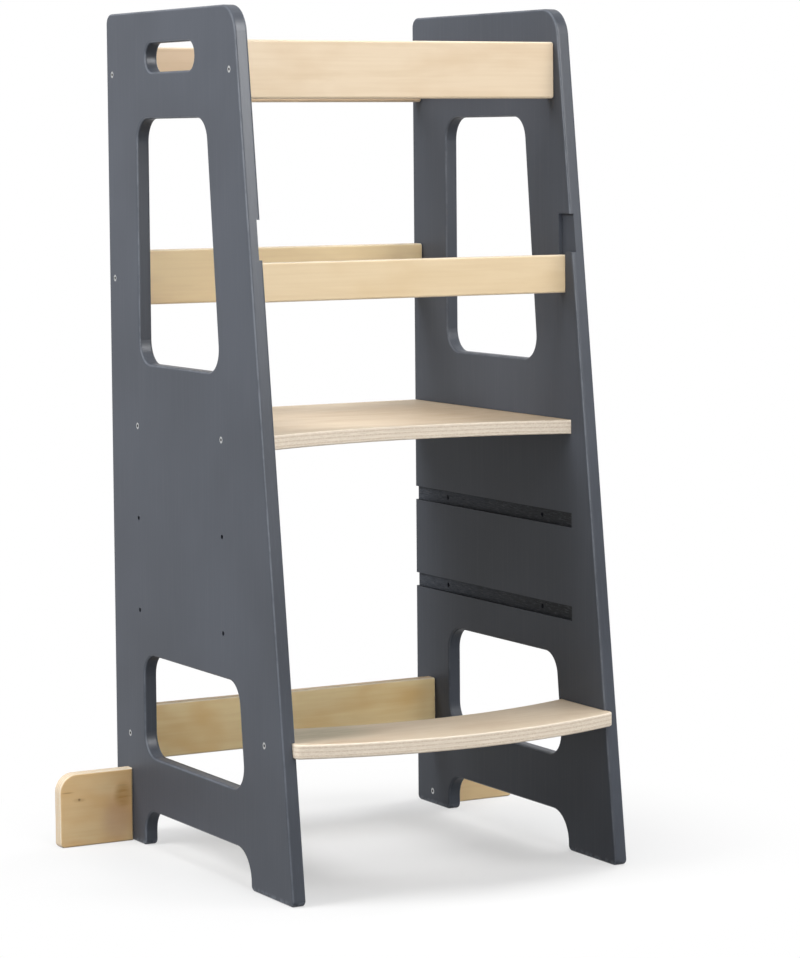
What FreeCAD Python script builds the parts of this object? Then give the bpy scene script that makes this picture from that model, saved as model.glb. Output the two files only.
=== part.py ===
"""Toddler kitchen helper stool: two painted side panels joined by birch plywood boards.

Units are millimetres. +Z is up, -Y is the side that the child climbs, X is the width.
The origin is the middle of the footprint on the floor.
Distances named *_BACK or *_FROM_BACK are measured forwards from the panels' rear edge.
"""
import FreeCAD, Part
import math
import os

# ---------------------------------------------------------------- driving dimensions
OVERALL_WIDTH = 566.5           # across the two stabiliser boards

# Side panels
PANEL_HEIGHT = 900.0            # floor to the top edge
PANEL_THICKNESS = 15.0
PANEL_SPACING = 364.0           # clear width between the two inner faces
PANEL_DEPTH_TOP = 315.0         # rear edge to the slanted front edge at the top
PANEL_DEPTH_FLOOR = 429.0       # rear edge to the slanted front edge at the floor
PANEL_REAR_TOP_RADIUS = 11.0
PANEL_FRONT_TOP_RADIUS = 31.0
PANEL_TOE_RADIUS = 6.0          # corners of the feet, seen from the side
PANEL_EDGE_ROUND = 2.8          # round-over along every outer edge and window edge

# Windows and the gap under each panel
WINDOW_BACK = 77.0              # rear side of both windows
WINDOW_CORNER_RADIUS = 25.0
UPPER_WINDOW_BOTTOM = 525.0
UPPER_WINDOW_BELOW_TOP = 113.7  # panel's top edge to the window
UPPER_WINDOW_MARGIN_BOTTOM = 89.0   # slanted front edge to the window's front side
UPPER_WINDOW_MARGIN_TOP = 82.1
LOWER_WINDOW_BOTTOM = 99.6
LOWER_WINDOW_TOP = 210.4
LOWER_WINDOW_MARGIN_BOTTOM = 95.4
LOWER_WINDOW_MARGIN_TOP = 93.8
FOOT_GAP_HEIGHT = 40.2
REAR_FOOT_LENGTH = 75.0
FRONT_FOOT_LENGTH = 96.0
FOOT_GAP_REAR_RADIUS = 25.0
FOOT_GAP_FRONT_RADIUS = 32.0

# Handle slot, a long round-ended hole near the top of each panel
HANDLE_BACK = 100.0
HANDLE_LENGTH = 121.5
HANDLE_HEIGHT = 30.4
HANDLE_BELOW_TOP = 34.1         # panel's top edge to the slot

# Grooves that carry the boards' ends
GROOVE_DEPTH = 4.5              # how deep each groove is cut into the inner face
GROOVE_SIDE_PLAY = 0.3          # left free at each end of a housed board
GROOVE_HEIGHT_PLAY = 0.4        # left free above a housed board
GROOVE_END_PLAY = 0.5           # left free past the end of a housed board

# Standing platform and its three heights
PLATFORM_THICKNESS = 15.0
PLATFORM_DEPTH = 343.0          # rear edge to the front corners
PLATFORM_FRONT_HOLLOW = 36.0    # how far the front edge curves in at the middle
PLATFORM_LOWEST = 249.5         # underside at the lowest of the heights
PLATFORM_PITCH = 100.0
PLATFORM_HEIGHTS = 3            # the platform is screwed in at the highest of them
PLATFORM_REAR_SCREW = 68.3
PLATFORM_FRONT_SCREW = 275.3
PLATFORM_EDGE_ROUND = 1.5

# Lower step, a bowed board that sticks out in front of the panels
STEP_THICKNESS = 15.0
STEP_UNDERSIDE = 147.0
STEP_NOSE = 455.0               # rear edge of the panels to the middle of the front
STEP_WIDTH_MIDDLE = 102.0       # front to rear of the board at the middle
STEP_BOW_RADIUS = 490.0         # the front and the rear edge bow alike
STEP_CORNER_RADIUS = 8.0
STEP_SCREW_BEHIND_NOSE = 88.0
STEP_EDGE_ROUND = 2.0

# Rails between the panels
RAIL_THICKNESS = 15.0
RAIL_HEIGHT = 59.6
RAIL_EDGE_ROUND = 2.5
TOP_RAIL_BELOW_TOP = 35.6       # panel's top edge to both top rails
TOP_FRONT_RAIL_SETBACK = 7.5    # slanted front edge to the rail's face, at the rail's top
UPPER_BACK_RAIL_SETBACK = 7.0   # rear edge of the panels to the rails' rear face
MIDDLE_BACK_RAIL_ABOVE_PLATFORM = 120.2     # platform's top to the rail's underside
LOWER_BACK_RAIL_SETBACK = 30.0
LOWER_BACK_RAIL_UNDERSIDE = 88.4

# Safety bar, lifted out of its grooves by hand
BAR_THICKNESS = 12.0
BAR_HEIGHT = 40.2
BAR_ABOVE_PLATFORM = 134.7      # platform's top to the bar's underside
BAR_SETBACK = 15.3              # slanted front edge to the bar's face, at the lip's top
BAR_SLIDE_PLAY = 0.4            # left free in front of and behind the bar
BAR_EDGE_ROUND = 2.0
BAR_LIFT = 43.2                 # how far it rises before it clears the lip
BAR_LIFT_PLAY = 0.6             # left free above the raised bar

# Stabiliser boards on the outside of the rear feet
STABILISER_HEIGHT = 80.0
STABILISER_THICKNESS = 15.0
STABILISER_BACK = 28.0          # rear edge of the panels to the board's rear face
STABILISER_TOP_RADIUS = 20.0
STABILISER_BOTTOM_RADIUS = 5.0
STABILISER_SCREW_INSET = 14.8   # lower and upper screw from the board's edges
STABILISER_EDGE_ROUND = 2.0

# Connector screws, all alike
SCREW_LENGTH = 50.0
SCREW_SHANK_DIAMETER = 5.0
SCREW_CORE_DIAMETER = 3.6
SCREW_THREAD_PITCH = 2.4
SCREW_SHOULDER_LENGTH = 12.0    # smooth part under the head
SCREW_POINT_LENGTH = 4.0
SCREW_HEAD_DIAMETER = 7.2
SCREW_HEAD_FLAT = 0.8           # straight part of the head above its cone
SCREW_HEAD_CONE = 1.4
SCREW_HEAD_SUNK = 0.2           # how far the head lies below the panel's face
SCREW_SOCKET_ACROSS_FLATS = 3.0
SCREW_SOCKET_DEPTH = 1.8
SCREW_HOLE_PLAY = 0.05          # radial, along the whole screw
SCREW_HOLE_OVERRUN = 1.0        # depth left free ahead of the point

# Dowels, all alike: they stop a rail from turning about its one screw
DOWEL_DIAMETER = 8.0
DOWEL_LENGTH = 30.0
DOWEL_INTO_PANEL = 9.0
DOWEL_SPACING = 36.0            # upper to lower dowel at a rail's end
DOWEL_HOLE_PLAY = 0.05          # radial
DOWEL_END_PLAY = 0.5
DOWEL_CHAMFER = 0.8

# ---------------------------------------------------------------- derived places
INNER_X = PANEL_SPACING / 2.0
OUTER_X = INNER_X + PANEL_THICKNESS
GROOVE_X = INNER_X + GROOVE_DEPTH
HOUSED_X = GROOVE_X - GROOVE_SIDE_PLAY
FOOTPRINT_DEPTH = max(STEP_NOSE, PANEL_DEPTH_FLOOR)
REAR_Y = FOOTPRINT_DEPTH / 2.0
UPPER_WINDOW_TOP = PANEL_HEIGHT - UPPER_WINDOW_BELOW_TOP
HANDLE_MIDDLE_Z = PANEL_HEIGHT - HANDLE_BELOW_TOP - HANDLE_HEIGHT / 2.0
PLATFORM_UNDERSIDE = PLATFORM_LOWEST + (PLATFORM_HEIGHTS - 1) * PLATFORM_PITCH
PLATFORM_TOP = PLATFORM_UNDERSIDE + PLATFORM_THICKNESS
TOP_RAIL_TOP = PANEL_HEIGHT - TOP_RAIL_BELOW_TOP
TOP_RAIL_UNDERSIDE = TOP_RAIL_TOP - RAIL_HEIGHT
MIDDLE_BACK_RAIL_UNDERSIDE = PLATFORM_TOP + MIDDLE_BACK_RAIL_ABOVE_PLATFORM
BAR_UNDERSIDE = PLATFORM_TOP + BAR_ABOVE_PLATFORM
BAR_LIP_TOP = BAR_UNDERSIDE + BAR_LIFT
BAR_GROOVE_TOP = BAR_LIP_TOP + BAR_HEIGHT + BAR_LIFT_PLAY
CUT_OVERRUN = 5.0               # how far a cutting tool runs past a face
SAME_PLACE = 1e-4               # places closer than this count as one
SIDES = (-1.0, 1.0)


def y_at(from_back):
    """Y of a place that lies this far forward of the panels' rear edge."""
    return REAR_Y - from_back


def panel_front(z):
    """Distance from the rear edge to the slanted front edge at this height."""
    lean = (PANEL_DEPTH_FLOOR - PANEL_DEPTH_TOP) / PANEL_HEIGHT
    return PANEL_DEPTH_FLOOR - lean * z


TOP_FRONT_RAIL_FACE = panel_front(TOP_RAIL_TOP) - TOP_FRONT_RAIL_SETBACK
UPPER_BACK_RAIL_FACE = UPPER_BACK_RAIL_SETBACK + RAIL_THICKNESS
LOWER_BACK_RAIL_FACE = LOWER_BACK_RAIL_SETBACK + RAIL_THICKNESS
BAR_FACE = panel_front(BAR_LIP_TOP) - BAR_SETBACK


# ---------------------------------------------------------------- shape helpers
def box(x0, x1, y0, y1, z0, z1):
    """Box between two corners, given in any order."""
    low = FreeCAD.Vector(min(x0, x1), min(y0, y1), min(z0, z1))
    return Part.makeBox(abs(x1 - x0), abs(y1 - y0), abs(z1 - z0), low)


def rounded_outline(corners):
    """Closed wire through corners, each (point, radius), with arcs of those radii."""
    count = len(corners)
    starts = []
    ends = []
    middles = []
    for index in range(count):
        point, radius = corners[index]
        before = corners[index - 1][0]
        after = corners[(index + 1) % count][0]
        to_before = (before - point).normalize()
        to_after = (after - point).normalize()
        if radius <= 0.0:
            starts.append(point)
            ends.append(point)
            middles.append(None)
            continue
        half_angle = to_before.getAngle(to_after) / 2.0
        reach = radius / math.tan(half_angle)
        bisector = (to_before + to_after).normalize()
        centre = point + bisector * (radius / math.sin(half_angle))
        starts.append(point + to_before * reach)
        ends.append(point + to_after * reach)
        middles.append(centre - bisector * radius)
    edges = []
    for index in range(count):
        if middles[index] is not None:
            edges.append(Part.Arc(starts[index], middles[index], ends[index]).toShape())
        following = (index + 1) % count
        if (starts[following] - ends[index]).Length > SAME_PLACE:
            edges.append(Part.LineSegment(ends[index], starts[following]).toShape())
    return Part.Wire(edges)


def side_outline(corners, x):
    """Closed wire in a plane of constant X, from (from_back, z, radius) corners."""
    points = []
    for from_back, z, radius in corners:
        points.append((FreeCAD.Vector(x, y_at(from_back), z), radius))
    return rounded_outline(points)


def side_prism(corners, x0, x1):
    """Solid from a side outline, between two values of X."""
    face = Part.Face(side_outline(corners, x0))
    return face.extrude(FreeCAD.Vector(x1 - x0, 0.0, 0.0))


def x_cylinder(radius, x0, x1, y, z):
    """Cylinder along X between two values of X."""
    low = min(x0, x1)
    start = FreeCAD.Vector(low, y, z)
    return Part.makeCylinder(radius, abs(x1 - x0), start, FreeCAD.Vector(1, 0, 0))


def edges_on_plane(solid, axis, value):
    """Edges that lie wholly in the plane where a coordinate has this value."""
    found = []
    for edge in solid.Edges:
        bounds = edge.BoundBox
        low = (bounds.XMin, bounds.YMin, bounds.ZMin)[axis]
        high = (bounds.XMax, bounds.YMax, bounds.ZMax)[axis]
        if abs(low - value) < SAME_PLACE and abs(high - value) < SAME_PLACE:
            found.append(edge)
    return found


def rounded_box(x0, x1, y0, y1, z0, z1, radius):
    """Board with all its edges rounded over."""
    board = box(x0, x1, y0, y1, z0, z1)
    return board.makeFillet(radius, board.Edges)


# ---------------------------------------------------------------- fasteners
def screw_profile():
    """Half section of a connector screw: (distance below the head's top, radius)."""
    shank = SCREW_SHANK_DIAMETER / 2.0
    core = SCREW_CORE_DIAMETER / 2.0
    head = SCREW_HEAD_DIAMETER / 2.0
    profile = [(0.0, head), (SCREW_HEAD_FLAT, head)]
    profile.append((SCREW_HEAD_FLAT + SCREW_HEAD_CONE, shank))
    profile.append((SCREW_SHOULDER_LENGTH, shank))
    threaded = SCREW_LENGTH - SCREW_POINT_LENGTH - SCREW_SHOULDER_LENGTH
    ridges = int(threaded / SCREW_THREAD_PITCH)
    for index in range(ridges):
        start = SCREW_SHOULDER_LENGTH + index * SCREW_THREAD_PITCH
        profile.append((start + SCREW_THREAD_PITCH * 0.25, core))
        profile.append((start + SCREW_THREAD_PITCH * 0.75, core))
        profile.append((start + SCREW_THREAD_PITCH, shank))
    profile.append((SCREW_LENGTH - SCREW_POINT_LENGTH, core))
    profile.append((SCREW_LENGTH, 0.0))
    return profile


def make_screw():
    """Connector screw with its head's top at the origin, pointing along +X."""
    points = [FreeCAD.Vector(0.0, 0.0, 0.0)]
    for along, radius in screw_profile():
        points.append(FreeCAD.Vector(along, 0.0, radius))
    points.append(points[0])
    face = Part.Face(Part.makePolygon(points))
    solid = face.revolve(FreeCAD.Vector(0, 0, 0), FreeCAD.Vector(1, 0, 0), 360.0)
    socket_radius = SCREW_SOCKET_ACROSS_FLATS / 2.0 / math.cos(math.pi / 6.0)
    corners = []
    for index in range(7):
        angle = math.radians(60.0 * index)
        across = socket_radius * math.cos(angle)
        up = socket_radius * math.sin(angle)
        corners.append(FreeCAD.Vector(0.0, across, up))
    socket = Part.Face(Part.makePolygon(corners)).extrude(FreeCAD.Vector(SCREW_SOCKET_DEPTH, 0, 0))
    return solid.cut(socket)


def make_screw_hole():
    """Space for one screw, along the same axis, open past the head."""
    hole_radius = SCREW_SHANK_DIAMETER / 2.0 + SCREW_HOLE_PLAY
    head_radius = SCREW_HEAD_DIAMETER / 2.0 + SCREW_HOLE_PLAY
    cone_start = SCREW_HEAD_FLAT + SCREW_HOLE_PLAY
    points = [
        FreeCAD.Vector(-CUT_OVERRUN, 0.0, 0.0),
        FreeCAD.Vector(-CUT_OVERRUN, 0.0, head_radius),
        FreeCAD.Vector(SCREW_HEAD_FLAT, 0.0, head_radius),
        FreeCAD.Vector(cone_start + SCREW_HEAD_CONE, 0.0, hole_radius),
        FreeCAD.Vector(SCREW_LENGTH + SCREW_HOLE_OVERRUN, 0.0, hole_radius),
        FreeCAD.Vector(SCREW_LENGTH + SCREW_HOLE_OVERRUN, 0.0, 0.0),
        FreeCAD.Vector(-CUT_OVERRUN, 0.0, 0.0),
    ]
    face = Part.Face(Part.makePolygon(points))
    return face.revolve(FreeCAD.Vector(0, 0, 0), FreeCAD.Vector(1, 0, 0), 360.0)


def place_along_x(shape, x, y, z, direction):
    """Copy of a shape made along +X, put at a point and pointing along +X or -X."""
    copy = shape.copy()
    if direction < 0.0:
        copy = copy.mirror(FreeCAD.Vector(0, 0, 0), FreeCAD.Vector(1, 0, 0))
    copy.translate(FreeCAD.Vector(x, y, z))
    return copy


def rail_screw_seats(side, rail):
    """Place and direction of the screw at one end of a rail, from the outside."""
    x = side * (OUTER_X - SCREW_HEAD_SUNK)
    return [(x, rail["middle_y"], rail["middle_z"], -side)]


def platform_screw_seats(side):
    """Places of the two screws that hold one end of the platform."""
    x = side * (OUTER_X - SCREW_HEAD_SUNK)
    z = PLATFORM_UNDERSIDE + PLATFORM_THICKNESS / 2.0
    seats = []
    for from_back in (PLATFORM_REAR_SCREW, PLATFORM_FRONT_SCREW):
        seats.append((x, y_at(from_back), z, -side))
    return seats


def step_screw_seats(side):
    """Place of the screw that holds one end of the lower step."""
    x = side * (OUTER_X - SCREW_HEAD_SUNK)
    z = STEP_UNDERSIDE + STEP_THICKNESS / 2.0
    return [(x, y_at(STEP_NOSE - STEP_SCREW_BEHIND_NOSE), z, -side)]


def stabiliser_screw_seats(side):
    """Places of the two screws that hold a stabiliser, driven from the inside."""
    x = side * (INNER_X + SCREW_HEAD_SUNK)
    y = y_at(STABILISER_BACK + STABILISER_THICKNESS / 2.0)
    seats = []
    for z in (STABILISER_SCREW_INSET, STABILISER_HEIGHT - STABILISER_SCREW_INSET):
        seats.append((x, y, z, side))
    return seats


def shapes_at(shape, seats):
    """One copy of a shape at each (x, y, z, direction) seat."""
    copies = []
    for x, y, z, direction in seats:
        copies.append(place_along_x(shape, x, y, z, direction))
    return copies


def dowel_seats(side, rail):
    """Places of the two dowels at one end of a rail."""
    x = side * (INNER_X + DOWEL_INTO_PANEL)
    seats = []
    for offset in (-DOWEL_SPACING / 2.0, DOWEL_SPACING / 2.0):
        seats.append((x, rail["middle_y"], rail["middle_z"] + offset, -side))
    return seats


def make_dowel():
    """Dowel along +X from the origin, chamfered at both ends."""
    dowel = x_cylinder(DOWEL_DIAMETER / 2.0, 0.0, DOWEL_LENGTH, 0.0, 0.0)
    rims = edges_on_plane(dowel, 0, 0.0) + edges_on_plane(dowel, 0, DOWEL_LENGTH)
    return dowel.makeChamfer(DOWEL_CHAMFER, rims)


def make_dowel_hole():
    """Blind space for one dowel, longer than it at both ends."""
    radius = DOWEL_DIAMETER / 2.0 + DOWEL_HOLE_PLAY
    return x_cylinder(radius, -DOWEL_END_PLAY, DOWEL_LENGTH + DOWEL_END_PLAY, 0.0, 0.0)


SCREW = make_screw()
SCREW_HOLE = make_screw_hole()
DOWEL = make_dowel()
DOWEL_HOLE = make_dowel_hole()


# ---------------------------------------------------------------- rails
def rail_at(face_from_back, underside):
    """Middle and corners of a rail, from its front face and its underside."""
    rear_from_back = face_from_back - RAIL_THICKNESS
    return {
        "front_y": y_at(face_from_back),
        "rear_y": y_at(rear_from_back),
        "middle_y": y_at(face_from_back - RAIL_THICKNESS / 2.0),
        "underside": underside,
        "middle_z": underside + RAIL_HEIGHT / 2.0,
    }


RAILS = {
    "top_front_rail": rail_at(TOP_FRONT_RAIL_FACE, TOP_RAIL_UNDERSIDE),
    "top_back_rail": rail_at(UPPER_BACK_RAIL_FACE, TOP_RAIL_UNDERSIDE),
    "middle_back_rail": rail_at(UPPER_BACK_RAIL_FACE, MIDDLE_BACK_RAIL_UNDERSIDE),
    "lower_back_rail": rail_at(LOWER_BACK_RAIL_FACE, LOWER_BACK_RAIL_UNDERSIDE),
}


def make_rail(rail):
    """Straight board butted between the panels, bored for its screws and dowels."""
    top = rail["underside"] + RAIL_HEIGHT
    board = rounded_box(-INNER_X, INNER_X, rail["front_y"], rail["rear_y"],
                        rail["underside"], top, RAIL_EDGE_ROUND)
    cuts = []
    for side in SIDES:
        cuts += shapes_at(SCREW_HOLE, rail_screw_seats(side, rail))
        cuts += shapes_at(DOWEL_HOLE, dowel_seats(side, rail))
    return board.cut(cuts)


# ---------------------------------------------------------------- side panels
def handle_slot():
    """Round-ended hole for the hand, through the right panel."""
    radius = HANDLE_HEIGHT / 2.0
    middle_z = HANDLE_MIDDLE_Z
    x0 = INNER_X - CUT_OVERRUN
    x1 = OUTER_X + CUT_OVERRUN
    rear_y = y_at(HANDLE_BACK + radius)
    front_y = y_at(HANDLE_BACK + HANDLE_LENGTH - radius)
    low = FreeCAD.Vector(x0, rear_y, middle_z - radius)
    high = FreeCAD.Vector(x0, rear_y, middle_z + radius)
    rear = FreeCAD.Vector(x0, rear_y + radius, middle_z)
    far_low = FreeCAD.Vector(x0, front_y, middle_z - radius)
    far_high = FreeCAD.Vector(x0, front_y, middle_z + radius)
    front = FreeCAD.Vector(x0, front_y - radius, middle_z)
    outline = Part.Wire([
        Part.Arc(low, rear, high).toShape(),
        Part.LineSegment(high, far_high).toShape(),
        Part.Arc(far_high, front, far_low).toShape(),
        Part.LineSegment(far_low, low).toShape(),
    ])
    return Part.Face(outline).extrude(FreeCAD.Vector(x1 - x0, 0.0, 0.0))


def window_outline(bottom, top, margin_bottom, margin_top):
    """Corners of a window whose front side follows the panel's slanted front edge."""
    return [
        (WINDOW_BACK, bottom, WINDOW_CORNER_RADIUS),
        (WINDOW_BACK, top, WINDOW_CORNER_RADIUS),
        (panel_front(top) - margin_top, top, WINDOW_CORNER_RADIUS),
        (panel_front(bottom) - margin_bottom, bottom, WINDOW_CORNER_RADIUS),
    ]


def panel_blank():
    """Painted panel with its windows, handle slot and foot gap, edges rounded over."""
    gap_front = PANEL_DEPTH_FLOOR - FRONT_FOOT_LENGTH
    outline = [
        (0.0, 0.0, PANEL_TOE_RADIUS),
        (0.0, PANEL_HEIGHT, PANEL_REAR_TOP_RADIUS),
        (PANEL_DEPTH_TOP, PANEL_HEIGHT, PANEL_FRONT_TOP_RADIUS),
        (PANEL_DEPTH_FLOOR, 0.0, PANEL_TOE_RADIUS),
        (gap_front, 0.0, PANEL_TOE_RADIUS),
        (gap_front, FOOT_GAP_HEIGHT, FOOT_GAP_FRONT_RADIUS),
        (REAR_FOOT_LENGTH, FOOT_GAP_HEIGHT, FOOT_GAP_REAR_RADIUS),
        (REAR_FOOT_LENGTH, 0.0, PANEL_TOE_RADIUS),
    ]
    upper_window = window_outline(UPPER_WINDOW_BOTTOM, UPPER_WINDOW_TOP,
                                  UPPER_WINDOW_MARGIN_BOTTOM, UPPER_WINDOW_MARGIN_TOP)
    lower_window = window_outline(LOWER_WINDOW_BOTTOM, LOWER_WINDOW_TOP,
                                  LOWER_WINDOW_MARGIN_BOTTOM, LOWER_WINDOW_MARGIN_TOP)
    panel = side_prism(outline, INNER_X, OUTER_X)
    for window in (upper_window, lower_window):
        panel = panel.cut(side_prism(window, INNER_X - CUT_OVERRUN, OUTER_X + CUT_OVERRUN))
    panel = panel.cut(handle_slot())
    face_edges = edges_on_plane(panel, 0, INNER_X) + edges_on_plane(panel, 0, OUTER_X)
    return panel.makeFillet(PANEL_EDGE_ROUND, face_edges)


def inner_groove(back, front, bottom, top):
    """Box that cuts a groove into the right panel's inner face."""
    return box(INNER_X - CUT_OVERRUN, GROOVE_X, y_at(back), y_at(front), bottom, top)


def platform_grooves():
    """One groove for each height of the platform, open at the rear edge."""
    grooves = []
    for level in range(PLATFORM_HEIGHTS):
        bottom = PLATFORM_LOWEST + level * PLATFORM_PITCH
        top = bottom + PLATFORM_THICKNESS + GROOVE_HEIGHT_PLAY
        grooves.append(inner_groove(-CUT_OVERRUN, PLATFORM_DEPTH + GROOVE_END_PLAY, bottom, top))
    return grooves


def step_groove():
    """Groove for the step's end, open at the panel's front edge."""
    rear = step_edge_from_back(STEP_NOSE - STEP_WIDTH_MIDDLE, HOUSED_X) - GROOVE_END_PLAY
    top = STEP_UNDERSIDE + STEP_THICKNESS + GROOVE_HEIGHT_PLAY
    return inner_groove(rear, STEP_NOSE + CUT_OVERRUN, STEP_UNDERSIDE, top)


def bar_groove():
    """Groove that the bar stands in behind a lip, with a mouth above the lip."""
    back = BAR_FACE - BAR_THICKNESS - BAR_SLIDE_PLAY
    front = BAR_FACE + BAR_SLIDE_PLAY
    channel = inner_groove(back, front, BAR_UNDERSIDE, BAR_GROOVE_TOP)
    mouth = inner_groove(back, panel_front(0.0), BAR_LIP_TOP, BAR_GROOVE_TOP)
    return channel.fuse(mouth)


def spare_platform_holes():
    """Screw holes through the panel at the heights below the fitted platform."""
    radius = SCREW_SHANK_DIAMETER / 2.0 + SCREW_HOLE_PLAY
    holes = []
    for level in range(PLATFORM_HEIGHTS - 1):
        z = PLATFORM_LOWEST + level * PLATFORM_PITCH + PLATFORM_THICKNESS / 2.0
        for from_back in (PLATFORM_REAR_SCREW, PLATFORM_FRONT_SCREW):
            holes.append(x_cylinder(radius, INNER_X, OUTER_X + CUT_OVERRUN, y_at(from_back), z))
    return holes


def make_right_panel():
    """Right panel with grooves in its inner face and all its screw and dowel holes."""
    side = 1.0
    cuts = platform_grooves() + [step_groove(), bar_groove()] + spare_platform_holes()
    seats = platform_screw_seats(side) + step_screw_seats(side) + stabiliser_screw_seats(side)
    for rail in RAILS.values():
        seats += rail_screw_seats(side, rail)
        cuts += shapes_at(DOWEL_HOLE, dowel_seats(side, rail))
    cuts += shapes_at(SCREW_HOLE, seats)
    return panel_blank().cut(cuts)


# ---------------------------------------------------------------- boards
def step_edge_from_back(middle, x):
    """Distance from the rear edge to a bowed edge of the step, at this X."""
    fall = STEP_BOW_RADIUS - math.sqrt(STEP_BOW_RADIUS ** 2 - x ** 2)
    return middle - fall


def plan_point(x, from_back, z):
    """Point on a board's plan, from X and the distance from the rear edge."""
    return FreeCAD.Vector(x, y_at(from_back), z)


def round_rims(board, z0, z1, radius):
    """Round over the edges of a flat board's two faces."""
    rims = edges_on_plane(board, 2, z0) + edges_on_plane(board, 2, z1)
    return board.makeFillet(radius, rims)


def make_step():
    """Lower step: bowed front, bowed rear and rounded front corners."""
    z = STEP_UNDERSIDE
    rear_middle = STEP_NOSE - STEP_WIDTH_MIDDLE
    front_end = step_edge_from_back(STEP_NOSE, HOUSED_X)
    rear_end = step_edge_from_back(rear_middle, HOUSED_X)
    front_left = plan_point(-HOUSED_X, front_end, z)
    front_right = plan_point(HOUSED_X, front_end, z)
    rear_right = plan_point(HOUSED_X, rear_end, z)
    rear_left = plan_point(-HOUSED_X, rear_end, z)
    face = Part.Face(Part.Wire([
        Part.Arc(front_left, plan_point(0.0, STEP_NOSE, z), front_right).toShape(),
        Part.LineSegment(front_right, rear_right).toShape(),
        Part.Arc(rear_right, plan_point(0.0, rear_middle, z), rear_left).toShape(),
        Part.LineSegment(rear_left, front_left).toShape(),
    ]))
    board = face.extrude(FreeCAD.Vector(0, 0, STEP_THICKNESS))
    corners = []
    for edge in board.Edges:
        upright = edge.BoundBox.ZLength > STEP_THICKNESS / 2.0
        if upright and abs(edge.BoundBox.YMin - y_at(front_end)) < SAME_PLACE:
            corners.append(edge)
    board = board.makeFillet(STEP_CORNER_RADIUS, corners)
    board = round_rims(board, z, z + STEP_THICKNESS, STEP_EDGE_ROUND)
    cuts = []
    for side in SIDES:
        cuts += shapes_at(SCREW_HOLE, step_screw_seats(side))
    return board.cut(cuts)


def make_platform():
    """Standing platform: straight rear edge, front edge curved inwards."""
    z = PLATFORM_UNDERSIDE
    front_left = plan_point(-INNER_X, PLATFORM_DEPTH, z)
    front_middle = plan_point(0.0, PLATFORM_DEPTH - PLATFORM_FRONT_HOLLOW, z)
    front_right = plan_point(INNER_X, PLATFORM_DEPTH, z)
    corners = [
        front_right,
        plan_point(HOUSED_X, PLATFORM_DEPTH, z),
        plan_point(HOUSED_X, 0.0, z),
        plan_point(-HOUSED_X, 0.0, z),
        plan_point(-HOUSED_X, PLATFORM_DEPTH, z),
        front_left,
    ]
    edges = [Part.Arc(front_left, front_middle, front_right).toShape()]
    for index in range(len(corners) - 1):
        edges.append(Part.LineSegment(corners[index], corners[index + 1]).toShape())
    face = Part.Face(Part.Wire(edges))
    board = face.extrude(FreeCAD.Vector(0, 0, PLATFORM_THICKNESS))
    board = round_rims(board, z, z + PLATFORM_THICKNESS, PLATFORM_EDGE_ROUND)
    cuts = []
    for side in SIDES:
        cuts += shapes_at(SCREW_HOLE, platform_screw_seats(side))
    return board.cut(cuts)


def make_safety_bar():
    """Loose bar whose ends stand in the panels' grooves."""
    front = y_at(BAR_FACE)
    rear = y_at(BAR_FACE - BAR_THICKNESS)
    top = BAR_UNDERSIDE + BAR_HEIGHT
    return rounded_box(-HOUSED_X, HOUSED_X, front, rear, BAR_UNDERSIDE, top, BAR_EDGE_ROUND)


def make_stabiliser(side):
    """Upright board butted against the outside of one rear foot."""
    front = y_at(STABILISER_BACK + STABILISER_THICKNESS)
    rear = y_at(STABILISER_BACK)
    inner = side * OUTER_X
    outer = side * OVERALL_WIDTH / 2.0
    corners = [
        (FreeCAD.Vector(inner, front, 0.0), 0.0),
        (FreeCAD.Vector(outer, front, 0.0), STABILISER_BOTTOM_RADIUS),
        (FreeCAD.Vector(outer, front, STABILISER_HEIGHT), STABILISER_TOP_RADIUS),
        (FreeCAD.Vector(inner, front, STABILISER_HEIGHT), 0.0),
    ]
    board = Part.Face(rounded_outline(corners)).extrude(FreeCAD.Vector(0, rear - front, 0))
    rims = edges_on_plane(board, 1, front) + edges_on_plane(board, 1, rear)
    board = board.makeFillet(STABILISER_EDGE_ROUND, rims)
    return board.cut(shapes_at(SCREW_HOLE, stabiliser_screw_seats(side)))


# ---------------------------------------------------------------- the assembly
def build_nodes():
    """Every node's name with its shape."""
    mirror_point = FreeCAD.Vector(0, 0, 0)
    mirror_normal = FreeCAD.Vector(1, 0, 0)
    right_panel = make_right_panel()
    nodes = {
        "side_panel_right": right_panel,
        "side_panel_left": right_panel.mirror(mirror_point, mirror_normal),
        "standing_platform": make_platform(),
        "lower_step": make_step(),
        "safety_bar": make_safety_bar(),
        "stabiliser_right": make_stabiliser(1.0),
        "stabiliser_left": make_stabiliser(-1.0),
    }
    rail_screws = []
    platform_screws = []
    step_screws = []
    stabiliser_screws = []
    for side in SIDES:
        for rail in RAILS.values():
            rail_screws += shapes_at(SCREW, rail_screw_seats(side, rail))
        platform_screws += shapes_at(SCREW, platform_screw_seats(side))
        step_screws += shapes_at(SCREW, step_screw_seats(side))
        stabiliser_screws += shapes_at(SCREW, stabiliser_screw_seats(side))
    nodes["rail_screws"] = Part.makeCompound(rail_screws)
    nodes["platform_screws"] = Part.makeCompound(platform_screws)
    nodes["step_screws"] = Part.makeCompound(step_screws)
    nodes["stabiliser_screws"] = Part.makeCompound(stabiliser_screws)
    for name, rail in RAILS.items():
        nodes[name] = make_rail(rail)
        dowels = []
        for side in SIDES:
            dowels += shapes_at(DOWEL, dowel_seats(side, rail))
        nodes[name + "_dowels"] = Part.makeCompound(dowels)
    return nodes


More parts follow.
